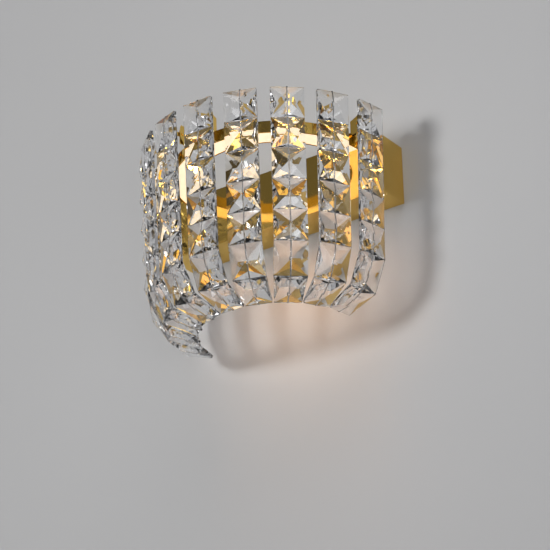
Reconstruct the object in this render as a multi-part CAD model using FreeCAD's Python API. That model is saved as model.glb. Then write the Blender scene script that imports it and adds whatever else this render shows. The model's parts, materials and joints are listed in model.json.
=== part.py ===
import FreeCAD, Part
import math
import os

# Crystal wall sconce, in millimetres.
# Origin: on the wall plane, midway between the two wall screws.
# +Z is up, the wall is the plane Y = 0 and the room lies towards -Y, +X is to the right.

V = FreeCAD.Vector
UP = V(0, 0, 1)
TO_WALL = V(0, 1, 0)
TO_ROOM = V(0, -1, 0)
ACROSS = V(1, 0, 0)

# ---------------------------------------------------------------- driving dimensions

# wall box
cover_width = 250.0
cover_height = 60.0
cover_depth = 38.0
cover_sheet = 1.5

# steel bracket inside the box
bracket_sheet = 1.5
bracket_play = 0.3
bracket_flange = 14.0
wall_screw_spacing = 140.0
wall_screw_hole_r = 2.5
cover_screw_x = 100.0
cover_screw_y = -8.0
cover_screw_r = 2.0
cover_screw_length = 8.0
cover_screw_head_r = 3.8
cover_screw_head_h = 2.2
screw_clearance = 0.15

# half ring on the front of the box, a channel open downward
ring_outer_r = 100.5
ring_sheet = 1.5
ring_bottom_z = 21.0
ring_height = 12.0
ring_width = 21.5
ring_roof_drop = 1.5
foot_length = 7.0
foot_play = 0.3
foot_height = 6.2
ring_screw_from_band = 6.5
ring_screw_z = 25.2
ring_screw_r = 1.5
ring_screw_head_r = 2.6
ring_screw_head_h = 1.8
ring_screw_grip = 5.0

# light board, its chips and its cover, inside the channel
board_thickness = 1.6
board_play = 0.6
board_from_foot = 1.5
chip_count = 36
chip_size = 3.0
chip_height = 0.8
diffuser_thickness = 2.0
diffuser_play = 0.3
lead_hole_r = 2.0
lead_hole_from_screw = 6.0
plug_width = 6.0
plug_length = 7.0
plug_height = 3.2
plug_from_foot = 3.0

# crystals: each is a row of cut glass squares on a wire
crystal_count = 9
crystal_step = 20.0
crystal_box_gap = 0.5
crystal_from_pin = 16.0
crystal_top_z = 54.0
square_width = 32.0
tip_width = 26.0
square_edge = 3.0
square_front_h = 6.0
square_back_h = 5.2
star_reach = 0.5
star_rise = 0.8
square_gap = 0.3
straight_pitch = 31.5
straight_squares = 5
hook_pitch = 33.7
hook_squares = 2
hook_bend = 45.0
crystal_lean = 1.9
wire_r = 0.4
wire_bore_r = 0.7
wire_bend_r = 1.0
wire_end = 0.6
wire_bead_r = 1.0

# hinge that each crystal hangs on
pin_from_ring = 9.0
pin_z = 40.0
pin_r = 1.5
pin_fit = 0.05
pin_overhang = 0.8
fin_sheet = 1.5
fin_nose = 3.0
fin_top_out = 1.5
fin_top_rise = 9.2
fin_top_slope = 18.0
hook_sheet = 1.0
hook_side_gap = 0.3
hook_hub_r = 2.8
hook_arm_h = 4.0
hook_slot_depth = 4.5
hook_slot_play = 0.1
stop_drop = 10.0
stop_h = 3.0
stop_gap = 0.3

# electrics in the box
entry_r = 5.0
grommet_wall = 3.0
grommet_flange_r = 10.5
grommet_flange_h = 2.0
grommet_play = 0.05
block_pitch = 9.0
block_poles = 3
block_centre_x = -30.0
block_depth = 14.0
block_height = 18.0
block_bore_r = 1.9
block_screw_r = 1.5
block_screw_h = 2.0
block_screw_z = 5.0
block_screw_gap = 0.2
block_screw_play = 0.1
lead_r = 0.7
lead_pair_gap = 0.3
lead_bend_r = 4.0
lead_low_z = -18.0
lead_sink = 1.0
driver_start_x = 16.0
driver_length = 44.0
driver_height = 22.0
driver_depth = 20.0
driver_bottom_z = -25.5
driver_out_z = -10.0
driver_edge = 1.5
earth_x = 32.0
earth_z = 14.0
earth_screw_r = 2.0
earth_screw_head_r = 3.6
earth_screw_head_h = 2.4
lug_sheet = 0.8
lug_r = 4.2
lug_length = 10.0
lug_width = 4.0

# ---------------------------------------------------------------- derived places

half_w = cover_width / 2
half_h = cover_height / 2
front_y = -cover_depth
cover_inner_y = front_y + cover_sheet
ring_inner_r = ring_outer_r - ring_sheet
ring_top_z = ring_bottom_z + ring_height
roof_z = ring_top_z - ring_roof_drop - ring_sheet
well_inner_r = ring_outer_r - ring_width
well_outer_r = well_inner_r + ring_sheet
board_z = roof_z - board_thickness
pin_u = ring_outer_r + pin_from_ring
crystal_edge_u = pin_u + crystal_from_pin
crystal_front_r = crystal_edge_u + square_edge
back_peak_u = crystal_edge_u - square_back_h
crystal_angles = [crystal_step * (i - (crystal_count - 1) / 2) for i in range(crystal_count)]

# the arc's centre is set so that the end crystals, as they rest, just clear the face of the box
lean = math.radians(crystal_lean)
last_angle = math.radians(crystal_angles[-1])
edge_at_box_foot = (pin_u + (crystal_edge_u - pin_u) * math.cos(lean)
                    - (pin_z + half_h) * math.sin(lean))
arc_centre_y = (front_y - crystal_box_gap + edge_at_box_foot * math.cos(last_angle)
                - square_width / 2 * math.sin(last_angle))

# places at the two ends of the ring
end_depth = arc_centre_y - front_y
foot_inner_x = math.sqrt(well_outer_r ** 2 - end_depth ** 2) + foot_play
foot_outer_x = math.sqrt(ring_inner_r ** 2 - (end_depth + foot_length) ** 2) - foot_play
ring_screw_x = foot_outer_x - ring_screw_from_band
lead_hole_x = ring_screw_x - lead_hole_from_screw
board_end_y = front_y - foot_length - board_from_foot
block_y = -bracket_sheet
block_bore_y = block_y - block_depth / 2


# ---------------------------------------------------------------- small helpers

def block(x0, x1, y0, y1, z0, z1):
    """A plain rectangular solid between two corners."""
    return Part.makeBox(x1 - x0, y1 - y0, z1 - z0, V(x0, y0, z0))


def rod(radius, length, start, direction):
    """A round bar from a start point along a direction."""
    return Part.makeCylinder(radius, length, start, direction)


def tube(outer_r, inner_r, length, start, direction):
    """A round bar with a round hole right through it."""
    return rod(outer_r, length, start, direction).cut(rod(inner_r, length, start, direction))


def export(name, shapes):
    """Write one sub-part, made of one or more separate solids."""
    solids = []
    for shape in shapes:
        solids.extend(shape.Solids)
    result = solids[0] if len(solids) == 1 else Part.makeCompound(solids)
    result.exportStep("parts/" + name + ".step")


def mirrored(shape):
    """The same piece on the left side."""
    return shape.mirror(V(0, 0, 0), ACROSS)


def round_arc(shape, angle):
    """Turn a piece made for the middle crystal to another crystal's place."""
    turned = shape.copy()
    turned.rotate(V(0, arc_centre_y, 0), UP, angle)
    return turned


def at(u, v, z):
    """A point of the middle crystal: u out from the arc's centre, v across, z up."""
    return V(v, arc_centre_y - u, z)


# ---------------------------------------------------------------- wall box

def cover_box():
    """Five-sided folded brass box, open to the wall."""
    outer = block(-half_w, half_w, front_y, 0, -half_h, half_h)
    inner = block(-half_w + cover_sheet, half_w - cover_sheet, cover_inner_y, 0,
                  -half_h + cover_sheet, half_h - cover_sheet)
    box = outer.cut(inner)
    for side in (-1, 1):
        box = box.cut(rod(ring_screw_r + screw_clearance, cover_sheet,
                          V(side * ring_screw_x, front_y, ring_screw_z), TO_WALL))
        box = box.cut(rod(cover_screw_r + screw_clearance, cover_sheet,
                          V(side * cover_screw_x, cover_screw_y, half_h - cover_sheet), UP))
    box = box.cut(rod(lead_hole_r, cover_sheet, V(lead_hole_x, front_y, ring_screw_z), TO_WALL))
    return box


def wall_bracket():
    """Steel channel against the wall, its two long edges bent forward."""
    top = half_h - cover_sheet - bracket_play
    end = half_w - cover_sheet - bracket_play
    plate = block(-end, end, -bracket_sheet, 0, -top, top)
    upper = block(-end, end, -bracket_flange, 0, top - bracket_sheet, top)
    lower = block(-end, end, -bracket_flange, 0, -top, -top + bracket_sheet)
    channel = plate.fuse([upper, lower]).removeSplitter()
    channel = channel.cut(rod(entry_r + grommet_wall, bracket_sheet, V(0, 0, 0), TO_ROOM))
    channel = channel.cut(rod(earth_screw_r, bracket_sheet, V(earth_x, 0, earth_z), TO_ROOM))
    for side in (-1, 1):
        channel = channel.cut(rod(wall_screw_hole_r, bracket_sheet,
                                  V(side * wall_screw_spacing / 2, 0, 0), TO_ROOM))
        channel = channel.cut(rod(cover_screw_r, bracket_sheet,
                                  V(side * cover_screw_x, cover_screw_y, top - bracket_sheet), UP))
    return channel


def cover_screw():
    """Pan-head screw down through the top of the box into the bracket."""
    x = cover_screw_x
    y = cover_screw_y
    shank = rod(cover_screw_r, cover_screw_length, V(x, y, half_h - cover_screw_length), UP)
    head = rod(cover_screw_head_r, cover_screw_head_h, V(x, y, half_h), UP)
    slot = block(x - cover_screw_head_r, x + cover_screw_head_r, y - 0.5, y + 0.5,
                 half_h + cover_screw_head_h / 2, half_h + cover_screw_head_h)
    return shank.fuse(head).removeSplitter().cut(slot)


# ---------------------------------------------------------------- half ring

def half_ring(outer_r, inner_r, bottom_z, height, back_y=front_y):
    """A flat-ended half ring of rectangular section, kept to what lies in front of back_y."""
    centre = V(0, arc_centre_y, bottom_z)
    reach = 2 * outer_r
    room_side = block(-reach, reach, back_y - reach, back_y, bottom_z - 1, bottom_z + height + 1)
    return tube(outer_r, inner_r, height, centre, UP).common(room_side)


def ring_band():
    """Upright brass band bent to a half circle, the outside of the channel."""
    return half_ring(ring_outer_r, ring_inner_r, ring_bottom_z, ring_height)


def ring_roof():
    """Flat brass half ring soldered inside the band, the top of the channel."""
    return half_ring(ring_inner_r, well_inner_r, roof_z, ring_sheet)


def ring_inner_band():
    """Smaller upright brass band, the inside of the channel."""
    return half_ring(well_outer_r, well_inner_r, ring_bottom_z, roof_z - ring_bottom_z)


def ring_foot(with_lead_hole):
    """Block soldered in one end of the channel, for the screw that holds the ring to the box."""
    foot = block(foot_inner_x, foot_outer_x, front_y - foot_length, front_y,
                 roof_z - foot_height, roof_z)
    foot = foot.cut(rod(ring_screw_r, ring_screw_grip, V(ring_screw_x, front_y, ring_screw_z), TO_ROOM))
    if with_lead_hole:
        foot = foot.cut(rod(lead_hole_r, foot_length, V(lead_hole_x, front_y, ring_screw_z), TO_ROOM))
    return foot


def ring_screw():
    """Screw from inside the box, through its face and into the ring's foot."""
    start = V(ring_screw_x, cover_inner_y, ring_screw_z)
    shank = rod(ring_screw_r, cover_sheet + ring_screw_grip, start, TO_ROOM)
    head = rod(ring_screw_head_r, ring_screw_head_h, start, TO_WALL)
    return shank.fuse(head).removeSplitter()


# ---------------------------------------------------------------- light in the ring

def light_board():
    """White circuit board bent round under the roof of the channel."""
    return half_ring(ring_inner_r - board_play, well_outer_r + board_play, board_z,
                     board_thickness, board_end_y)


def light_chips():
    """Small light chips, evenly spaced under the board."""
    middle_r = (ring_inner_r + well_outer_r) / 2
    end_angle = math.degrees(math.acos((arc_centre_y - board_end_y + chip_size) / middle_r))
    plug_angle = math.degrees(math.acos((arc_centre_y - plug_end_y() + chip_size) / middle_r))
    chips = []
    for i in range(chip_count):
        angle = -end_angle + i * (end_angle + plug_angle) / (chip_count - 1)
        chip = block(-chip_size / 2, chip_size / 2, arc_centre_y - middle_r - chip_size / 2,
                     arc_centre_y - middle_r + chip_size / 2, board_z - chip_height, board_z)
        chips.append(round_arc(chip, angle))
    return chips


def plug_end_y():
    """Front end of the board's plug."""
    return front_y - foot_length - plug_from_foot - plug_length


def board_plug():
    """Small plug under the right end of the board that takes the two leads."""
    return block(lead_hole_x - plug_width / 2, lead_hole_x + plug_width / 2, plug_end_y(),
                 plug_end_y() + plug_length, board_z - plug_height, board_z)


def light_diffuser():
    """Opal strip that closes the channel from below and spreads the light."""
    return half_ring(ring_inner_r - diffuser_play, well_outer_r + diffuser_play, ring_bottom_z,
                     diffuser_thickness, front_y - diffuser_play)


# ---------------------------------------------------------------- crystals and their hinges

def crystal_line():
    """Corners of the crystal's front line, top to tip, and each square's turn inward."""
    turns = [0.0] * straight_squares
    turns += [hook_bend * (i + 0.5) for i in range(hook_squares)]
    lengths = [straight_pitch] * straight_squares + [hook_pitch] * hook_squares
    corners = [(crystal_front_r, crystal_top_z)]
    for turn, length in zip(turns, lengths):
        a = math.radians(turn)
        u, z = corners[-1]
        corners.append((u - length * math.sin(a), z - length * math.cos(a)))
    return corners, turns


def line_point(station, depth, across=0.0, slide=0.0, turn=0.0):
    """A point on the plane that halves the bend at one corner, at a depth behind the front line.
    It may be slid along the line of a square that is turned inward by an angle."""
    corners, turns = crystal_line()
    before = turns[max(station - 1, 0)]
    after = turns[min(station, len(turns) - 1)]
    middle = math.radians((before + after) / 2)
    stretch = depth / math.cos(math.radians((after - before) / 2))
    a = math.radians(turn)
    u = corners[station][0] - stretch * math.cos(middle) - slide * math.sin(a)
    z = corners[station][1] + stretch * math.sin(middle) - slide * math.cos(a)
    return at(u, across, z)


def triangle(a, b, c):
    return Part.Face(Part.makePolygon([a, b, c, a]))


def pyramid_facets(rim, middle, rise):
    """The front: four facets from the rim up to one point."""
    return [triangle(rim[i], rim[(i + 1) % 4], middle + rise) for i in range(4)]


def star_facets(rim, middle, rise):
    """The back: four facets from the rim, four in its corners and a small pyramid in the middle."""
    steps = []
    for i in range(4):
        edge_middle = (rim[i] + rim[(i + 1) % 4]) * 0.5
        steps.append(middle + (edge_middle - middle) * star_reach + rise * star_rise)
    facets = pyramid_facets(steps, middle, rise)
    for i in range(4):
        corner = rim[(i + 1) % 4]
        facets.append(triangle(rim[i], corner, steps[i]))
        facets.append(triangle(corner, steps[(i + 1) % 4], steps[i]))
    return facets


def cut_square(k):
    """One square of glass: a pyramid in front, a flatter star cut behind, thin edges, a wire bore."""
    corners, turns = crystal_line()
    turn = turns[k]
    ends = []
    for station, slide in ((k, square_gap / 2), (k + 1, -square_gap / 2)):
        half = (tip_width if station == len(turns) else square_width) / 2
        ends.append([line_point(station, depth, side * half, slide, turn)
                     for depth, side in ((0, -1), (0, 1), (square_edge, 1), (square_edge, -1))])
    upper, lower = ends
    middle_front = (line_point(k, 0) + line_point(k + 1, 0)) * 0.5
    middle_back = (line_point(k, square_edge) + line_point(k + 1, square_edge)) * 0.5
    a = math.radians(turn)
    outward = V(0, -math.cos(a), -math.sin(a))
    front_rim = [upper[0], upper[1], lower[1], lower[0]]
    back_rim = [upper[3], upper[2], lower[2], lower[3]]
    faces = pyramid_facets(front_rim, middle_front, outward * square_front_h)
    faces += star_facets(back_rim, middle_back, outward * -square_back_h)
    for front, back in ((0, 3), (1, 2)):
        faces.append(triangle(upper[front], lower[front], upper[back]))
        faces.append(triangle(lower[front], lower[back], upper[back]))
    for end in ends:
        faces.append(Part.Face(Part.makePolygon(end + [end[0]])))
    shell = Part.makeShell(faces)
    shell.sewShape()
    glass = Part.makeSolid(shell)
    if glass.Volume < 0:
        glass.reverse()
    bore_start = line_point(k, square_edge / 2, 0, -1, turn)
    bore_line = line_point(k + 1, square_edge / 2, 0, 1, turn) - bore_start
    return glass.cut(rod(wire_bore_r, bore_line.Length, bore_start, bore_line))


def crystal_glass():
    """The squares of one crystal; the top one has a slot in its back for the hook."""
    squares = [cut_square(k) for k in range(straight_squares + hook_squares)]
    slot_end = back_peak_u + hook_slot_depth + hook_slot_play
    half_w = hook_sheet / 2 + hook_slot_play
    half_h = hook_arm_h / 2 + hook_slot_play
    slot = block(-half_w, half_w, arc_centre_y - slot_end, arc_centre_y - pin_u,
                 pin_z - half_h, pin_z + half_h)
    squares[0] = squares[0].cut(slot)
    return squares


def bent_rod(points, bend_r, radius):
    """A round rod or lead: straight runs between chosen points, an arc at every bend."""
    edges = []
    start = points[0]
    for i in range(1, len(points) - 1):
        corner = points[i]
        come = (corner - points[i - 1]).normalize()
        go = (points[i + 1] - corner).normalize()
        half_turn = come.getAngle(go) / 2
        reach = bend_r * math.tan(half_turn)
        centre = corner + (go - come).normalize() * (bend_r / math.cos(half_turn))
        enter = corner - come * reach
        leave = corner + go * reach
        middle = centre + (corner - centre).normalize() * bend_r
        edges.append(Part.makeLine(start, enter))
        edges.append(Part.Arc(enter, middle, leave).toShape())
        start = leave
    edges.append(Part.makeLine(start, points[-1]))
    first = (points[1] - points[0]).normalize()
    section = Part.Wire(Part.makeCircle(radius, points[0], first))
    return Part.Wire(edges).makePipeShell([section], True, False)


def crystal_wire():
    """Steel wire through every square, with a bead at each end that keeps them on."""
    last = straight_squares + hook_squares
    tip_turn = hook_bend * (hook_squares - 0.5)
    start = line_point(0, square_edge / 2, 0, -wire_end)
    end = line_point(last, square_edge / 2, 0, wire_end, tip_turn)
    bends = [line_point(k, square_edge / 2) for k in range(straight_squares, last)]
    wire = bent_rod([start] + bends + [end], wire_bend_r, wire_r)
    return wire.fuse([Part.makeSphere(wire_bead_r, start), Part.makeSphere(wire_bead_r, end)])


def leaning(shape):
    """Tip a hanging piece on its hinge pin, its foot inward, to where it rests."""
    tipped = shape.copy()
    tipped.rotate(at(pin_u, 0, pin_z), ACROSS, crystal_lean)
    return tipped


def crystal_hook():
    """Flat brass hook glued in the top square, hung on the pin; its tail rests near the ring."""
    half = hook_sheet / 2
    hub = rod(hook_hub_r, hook_sheet, at(pin_u, -half, pin_z), ACROSS)
    arm = block(-half, half, arc_centre_y - back_peak_u - hook_slot_depth, arc_centre_y - pin_u,
                pin_z - hook_arm_h / 2, pin_z + hook_arm_h / 2)
    tail = block(-half, half, arc_centre_y - pin_u - hook_arm_h / 2,
                 arc_centre_y - pin_u + hook_arm_h / 2, pin_z - stop_drop, pin_z)
    heel = block(-half, half, arc_centre_y - pin_u - hook_arm_h / 2,
                 arc_centre_y - ring_outer_r - stop_gap, pin_z - stop_drop,
                 pin_z - stop_drop + stop_h)
    hook = leaning(hub.fuse(arm)).fuse([tail, heel]).removeSplitter()
    return hook.cut(rod(pin_r + pin_fit, hook_sheet, at(pin_u, -half, pin_z), ACROSS))


def hanger_fin():
    """Upright brass fin soldered to the ring, beside the hook, that carries the hinge pin."""
    slope = math.tan(math.radians(fin_top_slope))
    top_outer_u = pin_u + fin_top_out
    top_outer_z = pin_z + fin_top_rise
    nose_u = pin_u + fin_nose
    start = hook_sheet / 2 + hook_side_gap
    outline = [
        (ring_outer_r, ring_bottom_z),
        (ring_outer_r + fin_nose, ring_bottom_z),
        (nose_u, pin_z - fin_nose),
        (nose_u, pin_z + fin_nose),
        (top_outer_u, top_outer_z),
        (ring_outer_r, top_outer_z - (top_outer_u - ring_outer_r) * slope),
        (ring_outer_r, ring_bottom_z),
    ]
    fin = Part.Face(Part.makePolygon([at(u, start, z) for u, z in outline]))
    fin = fin.extrude(V(fin_sheet, 0, 0)).cut(rod(pin_r, fin_sheet, at(pin_u, start, pin_z), ACROSS))
    return fin.cut(rod(ring_outer_r, ring_height, V(0, arc_centre_y, ring_bottom_z), UP))


def hanger_pin():
    """Plain pin pressed in the fin, with the hook on its free end."""
    start = -hook_sheet / 2 - pin_overhang
    length = 2 * pin_overhang + hook_sheet + hook_side_gap + fin_sheet
    return rod(pin_r, length, at(pin_u, start, pin_z), ACROSS)


# ---------------------------------------------------------------- electrics

def cable_grommet():
    """Rubber ring that lines the cable entry."""
    body = tube(entry_r + grommet_wall - grommet_play, entry_r, bracket_sheet, V(0, 0, 0), TO_ROOM)
    flange = tube(grommet_flange_r, entry_r, grommet_flange_h, V(0, -bracket_sheet, 0), TO_ROOM)
    return body.fuse(flange).removeSplitter()


def pole_x(i):
    """Middle of one pole of the terminal block."""
    return block_centre_x + (i - (block_poles - 1) / 2) * block_pitch


def terminal_block():
    """Moulded terminal block, with one upright bore and two screw wells for each pole."""
    half_l = block_poles * block_pitch / 2
    body = block(block_centre_x - half_l, block_centre_x + half_l, block_y - block_depth, block_y,
                 -block_height / 2, block_height / 2)
    for i in range(block_poles):
        x = pole_x(i)
        body = body.cut(rod(block_bore_r, block_height, V(x, block_bore_y, -block_height / 2), UP))
        for z in (-block_screw_z, block_screw_z):
            body = body.cut(rod(block_screw_r + block_screw_play, block_depth / 2,
                                V(x, block_y - block_depth, z), TO_WALL))
    return body


def terminal_screws():
    """Clamping screws in the wells of the terminal block."""
    screws = []
    for i in range(block_poles):
        for z in (-block_screw_z, block_screw_z):
            start = V(pole_x(i), block_bore_y - block_bore_r - block_screw_gap, z)
            screws.append(rod(block_screw_r, block_screw_h, start, TO_ROOM))
    return screws


def light_driver():
    """Moulded case of the driver that feeds the light board."""
    case = block(driver_start_x, driver_start_x + driver_length, block_y - driver_depth, block_y,
                 driver_bottom_z, driver_bottom_z + driver_height)
    long_edges = [edge for edge in case.Edges
                  if edge.Vertexes[0].Point.y < block_y and edge.Vertexes[1].Point.y < block_y]
    case = case.makeFillet(driver_edge, long_edges)
    spacing = 2 * lead_r + lead_pair_gap
    for x, z in ((driver_start_x, lead_low_z), (driver_start_x + driver_length, driver_out_z)):
        for row in (0, 1):
            case = case.cut(rod(lead_r, 2 * lead_sink, V(x - lead_sink, block_bore_y, z - row * spacing), ACROSS))
    return case


def supply_lead(pole, row):
    """One supply lead from the terminal block to the driver; the lower row passes under the upper."""
    low_z = lead_low_z - row * (2 * lead_r + lead_pair_gap)
    return bent_rod([
        V(pole_x(pole), block_bore_y, -block_screw_z),
        V(pole_x(pole), block_bore_y, low_z),
        V(driver_start_x + lead_sink, block_bore_y, low_z),
    ], lead_bend_r, lead_r)


def light_lead(row):
    """One lead from the driver, through the face of the box, to the plug of the light board."""
    spacing = 2 * lead_r + lead_pair_gap
    x = lead_hole_x + (row - 0.5) * spacing
    z = driver_out_z - row * spacing
    return bent_rod([
        V(driver_start_x + driver_length - lead_sink, block_bore_y, z),
        V(x, block_bore_y, z),
        V(x, block_bore_y, ring_screw_z),
        V(x, plug_end_y() + plug_length, ring_screw_z),
    ], lead_bend_r, lead_r)


def earth_screw():
    """Earth screw in the bracket."""
    seat_y = -bracket_sheet - lug_sheet
    shank = rod(earth_screw_r, bracket_sheet + lug_sheet, V(earth_x, 0, earth_z), TO_ROOM)
    head = rod(earth_screw_head_r, earth_screw_head_h, V(earth_x, seat_y, earth_z), TO_ROOM)
    return shank.fuse(head).removeSplitter()


def earth_lug():
    """Flat ring lug under the earth screw, its tail towards the terminal block."""
    seat_y = -bracket_sheet
    ring = rod(lug_r, lug_sheet, V(earth_x, seat_y, earth_z), TO_ROOM)
    tail = block(earth_x - lug_length, earth_x, seat_y - lug_sheet, seat_y,
                 earth_z - lug_width / 2, earth_z + lug_width / 2)
    hole = rod(earth_screw_r, lug_sheet, V(earth_x, seat_y, earth_z), TO_ROOM)
    return ring.fuse(tail).removeSplitter().cut(hole)


def earth_lead():
    """Earth lead from the last pole, over the block and down onto the lug's tail."""
    x_pole = pole_x(block_poles - 1)
    x_tail = earth_x - lug_length + lug_width / 2
    return bent_rod([
        V(x_pole, block_bore_y, block_screw_z),
        V(x_pole, block_bore_y, earth_z),
        V(x_tail, block_bore_y, earth_z),
        V(x_tail, -bracket_sheet - lug_sheet, earth_z),
    ], lead_bend_r, lead_r)


# ---------------------------------------------------------------- write every sub-part

def pair(shape):
    """A piece and its mirror image."""
    return [shape, mirrored(shape)]


os.makedirs("parts", exist_ok=True)

export("wall_bracket", [wall_bracket()])
export("cover_box", [cover_box()])
export("cover_screws", pair(cover_screw()))

export("ring_band", [ring_band()])
export("ring_inner_band", [ring_inner_band()])
export("ring_roof", [ring_roof()])
export("ring_feet", [ring_foot(True), mirrored(ring_foot(False))])
export("ring_screws", pair(ring_screw()))
export("light_board", [light_board()])
export("light_chips", light_chips())
export("board_plug", [board_plug()])
export("light_diffuser", [light_diffuser()])

fin = hanger_fin()
pin = hanger_pin()
export("hanger_fins", [round_arc(fin, a) for a in crystal_angles])
export("hanger_pins", [round_arc(pin, a) for a in crystal_angles])

glass = [leaning(square) for square in crystal_glass()]
wire = leaning(crystal_wire())
hook = crystal_hook()
for number, angle in enumerate(crystal_angles, 1):
    export("crystal_" + str(number), [round_arc(square, angle) for square in glass])
    export("crystal_wire_" + str(number), [round_arc(wire, angle)])
    export("crystal_hook_" + str(number), [round_arc(hook, angle)])

export("cable_grommet", [cable_grommet()])
export("terminal_block", [terminal_block()])
export("terminal_screws", terminal_screws())
export("light_driver", [light_driver()])
export("line_lead", [supply_lead(0, 1)])
export("neutral_lead", [supply_lead(1, 0)])
export("light_leads", [light_lead(0), light_lead(1)])
export("earth_lead", [earth_lead()])
export("earth_lug", [earth_lug()])
export("earth_screw", [earth_screw()])
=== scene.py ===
# %% [markdown]
# # A wall light of hanging crystals
# The light is a shallow polished brass box on a wall. A brass half ring stands out from it, lit from
# a strip in its underside. Nine long rows of cut glass squares hang round the ring on small hinges.
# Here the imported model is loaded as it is, and each surface gets the finish of the real one.

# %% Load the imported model
import json
import math

import bpy
from mathutils import Matrix, Vector


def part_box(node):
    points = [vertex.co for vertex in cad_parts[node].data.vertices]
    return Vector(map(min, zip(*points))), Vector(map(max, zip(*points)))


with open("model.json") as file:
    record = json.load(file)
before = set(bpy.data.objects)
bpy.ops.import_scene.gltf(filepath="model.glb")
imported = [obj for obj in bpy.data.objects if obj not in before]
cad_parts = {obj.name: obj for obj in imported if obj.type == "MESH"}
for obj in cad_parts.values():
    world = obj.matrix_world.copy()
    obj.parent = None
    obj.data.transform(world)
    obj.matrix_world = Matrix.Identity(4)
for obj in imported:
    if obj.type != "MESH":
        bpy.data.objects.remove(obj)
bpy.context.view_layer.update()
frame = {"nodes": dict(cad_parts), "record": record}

nodes = frame["nodes"]

# %% [markdown]
# ## Colours and nodes
# Colours are written as they look on a screen, in hex. Blender's shaders work in linear light, so one
# function turns them. A second small function adds a shader node with its settings and links, a third
# starts a material, and the last turns the size of a pattern in millimetres into a texture's scale.


# %% Small helpers
def colour(hex_code):
    """An sRGB hex colour as the linear RGBA that a shader needs."""
    values = [int(hex_code[i:i + 2], 16) / 255 for i in (1, 3, 5)]
    linear = [v / 12.92 if v <= 0.04045 else ((v + 0.055) / 1.055) ** 2.4 for v in values]
    return (*linear, 1.0)


def add(tree, kind, inputs=None, **settings):
    """Adds one node; inputs maps a socket's name or number to a value or to another socket."""
    node = tree.nodes.new(kind)
    for name, value in settings.items():
        setattr(node, name, value)
    for name, value in (inputs or {}).items():
        if isinstance(value, bpy.types.NodeSocket):
            tree.links.new(value, node.inputs[name])
        else:
            node.inputs[name].default_value = value
    return node


def new_material(name):
    """An empty node material and its tree."""
    material = bpy.data.materials.new(name)
    material.use_nodes = True
    material.node_tree.nodes.clear()
    return material, material.node_tree


MM = 0.001


def per_mm(size_mm):
    """Noise scale for a pattern whose grains are about this many millimetres across."""
    return 1 / (size_mm * MM)


print("brass yellow in linear light:", [round(v, 3) for v in colour("#F8D070")])


# %% [markdown]
# ## The camera
# The photograph was taken from the light's right and from below, with a long lens. The camera below
# stands where a fit to the corners of the box and the crystals put it.

# %% Camera
PHOTO_SIDE_PX = 550
FOCAL_PX = 3000
SENSOR_MM = 36
CAMERA_TURN = math.radians(34.23)
CAMERA_RISE = math.radians(25.35)
CAMERA_ROLL = math.radians(-1.70)
CAMERA_DISTANCE = 2.871
AIM_X = -0.0006
AIM_BELOW_BOX = 0.0526
NEAR_CLIP = 0.05
FAR_CLIP = 60
box_low, box_high = (Vector(corner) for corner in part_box("cover_box"))
aim = Vector((AIM_X, box_low.y, box_low.z - AIM_BELOW_BOX))

look = Vector((-math.sin(CAMERA_TURN) * math.cos(CAMERA_RISE),
               math.cos(CAMERA_TURN) * math.cos(CAMERA_RISE),
               math.sin(CAMERA_RISE)))
level = Vector((math.cos(CAMERA_TURN), math.sin(CAMERA_TURN), 0))
upright = level.cross(look)
right = level * math.cos(CAMERA_ROLL) + upright * math.sin(CAMERA_ROLL)
up = upright * math.cos(CAMERA_ROLL) - level * math.sin(CAMERA_ROLL)

camera_data = bpy.data.cameras.new("photo_camera")
camera_data.sensor_width = SENSOR_MM
camera_data.lens = SENSOR_MM * FOCAL_PX / PHOTO_SIDE_PX
camera_data.clip_start = NEAR_CLIP
camera_data.clip_end = FAR_CLIP
camera = bpy.data.objects.new("photo_camera", camera_data)
camera.matrix_world = Matrix.Translation(aim - look * CAMERA_DISTANCE) @ Matrix(
    (right, up, -look)).transposed().to_4x4()
bpy.context.collection.objects.link(camera)
bpy.context.scene.camera = camera
print("lens in mm:", round(camera_data.lens, 1))

# %% [markdown]
# ## The wall and the floor
# The light hangs on a plain painted wall. The wall is only staged: seen from behind it is clear, so
# that it never hides the back of the box, and it has an opening behind the box, so that light gets
# to the steel bracket there.


# %% Wall and floor
def staged_sheet(name, corners, faces, material):
    """A flat sheet that isn't part of the object."""
    mesh = bpy.data.meshes.new(name)
    mesh.from_pydata(corners, [], faces)
    sheet = bpy.data.objects.new(name, mesh)
    bpy.context.collection.objects.link(sheet)
    mesh.materials.append(material)
    return sheet


wall_paint, tree = new_material("painted_wall")
geometry = add(tree, "ShaderNodeNewGeometry")
paint = add(tree, "ShaderNodeBsdfPrincipled", {
    "Base Color": colour("#BABABA"),
    "Roughness": 0.8,
    "Specular IOR Level": 0.2,
})
clear = add(tree, "ShaderNodeBsdfTransparent")
either = add(tree, "ShaderNodeMixShader", {
    "Fac": geometry.outputs["Backfacing"],
    1: paint.outputs["BSDF"],
    2: clear.outputs["BSDF"],
})
add(tree, "ShaderNodeOutputMaterial", {"Surface": either.outputs["Shader"]})

floor_paint, tree = new_material("pale_floor")
paint = add(tree, "ShaderNodeBsdfPrincipled", {
    "Base Color": colour("#B3B2B0"),
    "Roughness": 0.7,
    "Specular IOR Level": 0.2,
})
add(tree, "ShaderNodeOutputMaterial", {"Surface": paint.outputs["BSDF"]})

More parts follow.
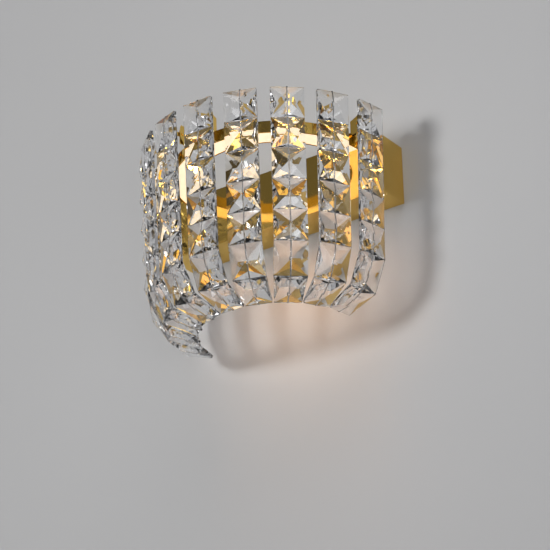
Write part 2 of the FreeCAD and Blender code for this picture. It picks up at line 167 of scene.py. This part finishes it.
WALL_GAP = 0.0004
FLOOR_Z = -1.6
WALL_TOP = 1.6
ROOM_HALF = 3.0
HOLE_MARGIN = 0.002
hole_low = (box_low.x + HOLE_MARGIN, box_low.z + HOLE_MARGIN)
hole_high = (box_high.x - HOLE_MARGIN, box_high.z - HOLE_MARGIN)
staged_sheet("wall", [
    (-ROOM_HALF, WALL_GAP, FLOOR_Z),
    (ROOM_HALF, WALL_GAP, FLOOR_Z),
    (ROOM_HALF, WALL_GAP, WALL_TOP),
    (-ROOM_HALF, WALL_GAP, WALL_TOP),
    (hole_low[0], WALL_GAP, hole_low[1]),
    (hole_high[0], WALL_GAP, hole_low[1]),
    (hole_high[0], WALL_GAP, hole_high[1]),
    (hole_low[0], WALL_GAP, hole_high[1]),
], [(0, 1, 5, 4), (1, 2, 6, 5), (2, 3, 7, 6), (3, 0, 4, 7)], wall_paint)
staged_sheet("floor", [
    (-ROOM_HALF, -2 * ROOM_HALF, FLOOR_Z),
    (ROOM_HALF, -2 * ROOM_HALF, FLOOR_Z),
    (ROOM_HALF, WALL_GAP, FLOOR_Z),
    (-ROOM_HALF, WALL_GAP, FLOOR_Z),
], [(0, 1, 2, 3)], floor_paint)
print("opening in the wall, width and height:",
      round(hole_high[0] - hole_low[0], 3), round(hole_high[1] - hole_low[1], 3))

# %% [markdown]
# ## The light of the room
# One lamp at the front left throws the shadow to the right of the box. A narrow pool from the same
# place makes the wall a little brighter round the object than in the corners. Two wide soft lamps fill
# the shadow. A small warm lamp under the ring stands for the strip's light on the wall; no mirror and
# no glass shows it. The room itself is dark at the front and paler at the sides, so that the facets
# have something dark and something pale to bend.


# %% Room light
def aimed(place, aim):
    """Where a lamp stands, and the turn that points it at its aim."""
    direction = (Vector(aim) - Vector(place)).normalized()
    return Matrix.Translation(place) @ direction.to_track_quat("-Z", "Y").to_matrix().to_4x4()


def area_light(name, place, aim, size, watts, hex_code):
    """A square soft light that points from its place to its aim."""
    data = bpy.data.lights.new(name, "AREA")
    data.size = size
    data.energy = watts
    data.color = colour(hex_code)[:3]
    lamp = bpy.data.objects.new(name, data)
    lamp.matrix_world = aimed(place, aim)
    lamp.visible_camera = False
    bpy.context.collection.objects.link(lamp)
    return lamp


KEY_PLACE = (-1.3, -2.9, 0.15)
OBJECT_MIDDLE = (0, -0.05, -0.03)
POOL_CENTRE = (0.07, 0.0, -0.03)
RING_MIDDLE = (0.0, -0.08, 0.012)
WALL_UNDER_RING = (0.02, 0.0, -0.075)
COOL_WHITE = "#FCFCFF"
area_light("key_front_left", KEY_PLACE, OBJECT_MIDDLE, 0.55, 44, "#FFFFFF")
pool = bpy.data.lights.new("pool_on_wall", "SPOT")
pool.energy = 60
pool.spot_size = math.radians(16)
pool.spot_blend = 1.0
pool.shadow_soft_size = 0.28
pool_lamp = bpy.data.objects.new("pool_on_wall", pool)
pool_lamp.matrix_world = aimed(KEY_PLACE, POOL_CENTRE)
pool_lamp.visible_camera = False
bpy.context.collection.objects.link(pool_lamp)
under_ring = area_light("glow_under_ring", RING_MIDDLE, WALL_UNDER_RING, 0.13, 0.085, "#FFB760")
under_ring.data.spread = math.radians(86)
under_ring.visible_glossy = False
under_ring.visible_transmission = False
area_light("fill_above", (0.9, -1.7, 2.6), OBJECT_MIDDLE, 2.2, 27, COOL_WHITE)
area_light("fill_below", (1.8, -1.6, -1.3), OBJECT_MIDDLE, 1.6, 21, COOL_WHITE)

# %% The room all round
ROOM_FRONT_GLOW = 0.02
ROOM_SIDE_GLOW = 0.45

world = bpy.data.worlds.new("room")
bpy.context.scene.world = world
world.use_nodes = True
tree = world.node_tree
tree.nodes.clear()
direction = add(tree, "ShaderNodeTexCoord")
parts = add(tree, "ShaderNodeSeparateXYZ", {"Vector": direction.outputs["Generated"]})
depth = add(tree, "ShaderNodeMapRange", {
    "Value": parts.outputs["Y"],
    "From Min": -1.0,
    "From Max": 0.0,
    "To Min": ROOM_FRONT_GLOW,
    "To Max": ROOM_SIDE_GLOW,
})
room_air = add(tree, "ShaderNodeBackground", {
    "Color": colour("#FBFBFF"),
    "Strength": depth.outputs["Result"],
})
add(tree, "ShaderNodeOutputWorld", {"Surface": room_air.outputs["Background"]})
bpy.context.scene.view_settings.view_transform = "Standard"
print("lamps:", sorted(lamp.name for lamp in bpy.data.lights))

# %% [markdown]
# ## Polished brass
# The box, the ring and the hangers are folded and bent brass sheet, polished and lacquered. The eye
# sees a warm mirror, a little duller and a little deeper in colour where a cloth has wiped it.

# %% Brass
WIPE_MM = 14
BRASS_ROUGHNESS = (0.05, 0.09)
brass, tree = new_material("polished_brass")
place = add(tree, "ShaderNodeTexCoord")
wipes = add(tree, "ShaderNodeTexNoise", {
    "Vector": place.outputs["Object"],
    "Scale": per_mm(WIPE_MM),
    "Detail": 4.0,
})
dullness = add(tree, "ShaderNodeMapRange", {
    "Value": wipes.outputs["Fac"],
    "From Min": 0.3,
    "From Max": 0.7,
    "To Min": BRASS_ROUGHNESS[0],
    "To Max": BRASS_ROUGHNESS[1],
})
tint = add(tree, "ShaderNodeMix", {
    0: wipes.outputs["Fac"],
    6: colour("#F8D070"),
    7: colour("#EFC561"),
}, data_type="RGBA")
metal = add(tree, "ShaderNodeBsdfPrincipled", {
    "Base Color": tint.outputs[2],
    "Metallic": 1.0,
    "Roughness": dullness.outputs["Result"],
})
add(tree, "ShaderNodeOutputMaterial", {"Surface": metal.outputs["BSDF"]})
print("made", brass.name)

# %% [markdown]
# ## Cut crystal
# The crystals are clear lead-free crystal glass, cut flat and polished. Glass is made here with full
# transmission, no roughness and a high index, so that the flat facets bend the room into triangles.
# Polishing never leaves a facet quite flat: each patch of a pattern leans its own way, by less than 5
# degrees. A ray that leaves the glass meets the patch from inside, so there the lean is turned round.
# A shadow ray passes, because light really comes through cut glass instead of stopping at it.

# %% Crystal glass
POLISHED_PATCH_MM = 11
PATCH_LEAN = 0.09
GLASS_IOR = 1.54

crystal_glass, tree = new_material("cut_crystal")
place = add(tree, "ShaderNodeTexCoord")
surface = add(tree, "ShaderNodeNewGeometry")
patches = add(tree, "ShaderNodeTexVoronoi", {
    "Vector": place.outputs["Object"],
    "Scale": per_mm(POLISHED_PATCH_MM),
})
lean = add(tree, "ShaderNodeVectorMath", {
    0: patches.outputs["Color"],
    1: (0.5, 0.5, 0.5),
}, operation="SUBTRACT")
amount = add(tree, "ShaderNodeMapRange", {
    "Value": surface.outputs["Backfacing"],
    "To Min": PATCH_LEAN,
    "To Max": -PATCH_LEAN,
})
small_lean = add(tree, "ShaderNodeVectorMath", {
    0: lean.outputs["Vector"],
    "Scale": amount.outputs["Result"],
}, operation="SCALE")
leaning = add(tree, "ShaderNodeVectorMath", {
    0: surface.outputs["Normal"],
    1: small_lean.outputs["Vector"],
}, operation="ADD")
patch_normal = add(tree, "ShaderNodeVectorMath", {0: leaning.outputs["Vector"]}, operation="NORMALIZE")
glass = add(tree, "ShaderNodeBsdfPrincipled", {
    "Base Color": colour("#FFFFFF"),
    "Roughness": 0.0,
    "IOR": GLASS_IOR,
    "Transmission Weight": 1.0,
    "Normal": patch_normal.outputs["Vector"],
})
path = add(tree, "ShaderNodeLightPath")
passing = add(tree, "ShaderNodeBsdfTransparent", {"Color": colour("#8C8C8E")})
either = add(tree, "ShaderNodeMixShader", {
    "Fac": path.outputs["Is Shadow Ray"],
    1: glass.outputs["BSDF"],
    2: passing.outputs["BSDF"],
})
add(tree, "ShaderNodeOutputMaterial", {"Surface": either.outputs["Shader"]})
print("made", crystal_glass.name)

# %% [markdown]
# ## The light strip
# Under the ring a satin acrylic cover spreads the light of the small chips behind it. The cover itself
# glows, so it is made as white plastic that gives off light, a tenth brighter or duller in clouds.

# %% Lit acrylic
COVER_GLOW = 0.85
GLOW_RANGE = (0.9 * COVER_GLOW, 1.1 * COVER_GLOW)
CLOUD_MM = 8
acrylic, tree = new_material("lit_opal_acrylic")
place = add(tree, "ShaderNodeTexCoord")
cloud = add(tree, "ShaderNodeTexNoise", {
    "Vector": place.outputs["Object"],
    "Scale": per_mm(CLOUD_MM),
    "Detail": 2.0,
})
glow = add(tree, "ShaderNodeMapRange", {
    "Value": cloud.outputs["Fac"],
    "From Min": 0.3,
    "From Max": 0.7,
    "To Min": GLOW_RANGE[0],
    "To Max": GLOW_RANGE[1],
})
cover = add(tree, "ShaderNodeBsdfPrincipled", {
    "Base Color": colour("#F6F1E6"),
    "Roughness": 0.35,
    "Emission Color": colour("#FFE4BA"),
    "Emission Strength": glow.outputs["Result"],
})
add(tree, "ShaderNodeOutputMaterial", {"Surface": cover.outputs["BSDF"]})
print("made", acrylic.name)

# %% [markdown]
# ## Plain finishes
# Steel, nickel, moulded plastic, rubber and cable sleeves sit mostly inside the box and the ring. They
# differ in colour, roughness and metal, so one function makes them all, each with a faint grain.


# %% Plain finishes inside the box
def plain_finish(name, hex_code, roughness, metallic=0.0, grain_mm=1.5, grain_depth_mm=0.01):
    """A moulded or plated surface with a faint grain of a real size."""
    material, tree = new_material(name)
    place = add(tree, "ShaderNodeTexCoord")
    grain = add(tree, "ShaderNodeTexNoise", {
        "Vector": place.outputs["Object"],
        "Scale": per_mm(grain_mm),
        "Detail": 3.0,
    })
    relief = add(tree, "ShaderNodeBump", {
        "Height": grain.outputs["Fac"],
        "Strength": 0.4,
        "Distance": grain_depth_mm * MM,
    })
    surface = add(tree, "ShaderNodeBsdfPrincipled", {
        "Base Color": colour(hex_code),
        "Roughness": roughness,
        "Metallic": metallic,
        "Normal": relief.outputs["Normal"],
    })
    add(tree, "ShaderNodeOutputMaterial", {"Surface": surface.outputs["BSDF"]})
    return material


finishes = {
    "polished_brass": brass,
    "clear_crystal": crystal_glass,
    "opal_acrylic": acrylic,
    "zinc_steel": plain_finish("zinc_plated_steel", "#B9BBBC", 0.32, 1.0),
    "nickel": plain_finish("nickel_plate", "#CFC9BE", 0.18, 1.0),
    "steel_wire": plain_finish("drawn_steel_wire", "#232221", 0.3, 1.0),
    "board_white": plain_finish("white_solder_resist", "#EFEEE9", 0.4),
    "light_phosphor": plain_finish("chip_phosphor", "#E9C85A", 0.5),
    "insulator": plain_finish("moulded_urea", "#E9E4D6", 0.45),
    "white_plastic": plain_finish("moulded_polycarbonate", "#F1F0EC", 0.3),
    "black_rubber": plain_finish("moulded_rubber", "#1B1B1C", 0.7, 0.0, 0.8, 0.03),
    "brown_insulation": plain_finish("brown_cable_sleeve", "#5A3420", 0.4),
    "blue_insulation": plain_finish("blue_cable_sleeve", "#2F5FA8", 0.4),
    "red_insulation": plain_finish("red_cable_sleeve", "#A32A22", 0.4),
    "green_insulation": plain_finish("green_cable_sleeve", "#4E8A36", 0.4),
}

print("finishes:", len(finishes))

# %% [markdown]
# ## The finish of each node
# The record names a material slot for each node, and the slot names the finish above.

# %% Give every node its finish
slot_of = {part["node"]: part["material_slot"] for part in frame["record"]["subparts"]}
for name, node in nodes.items():
    node.data.materials.clear()
    node.data.materials.append(finishes[slot_of[name]])
print("nodes dressed:", len(nodes))
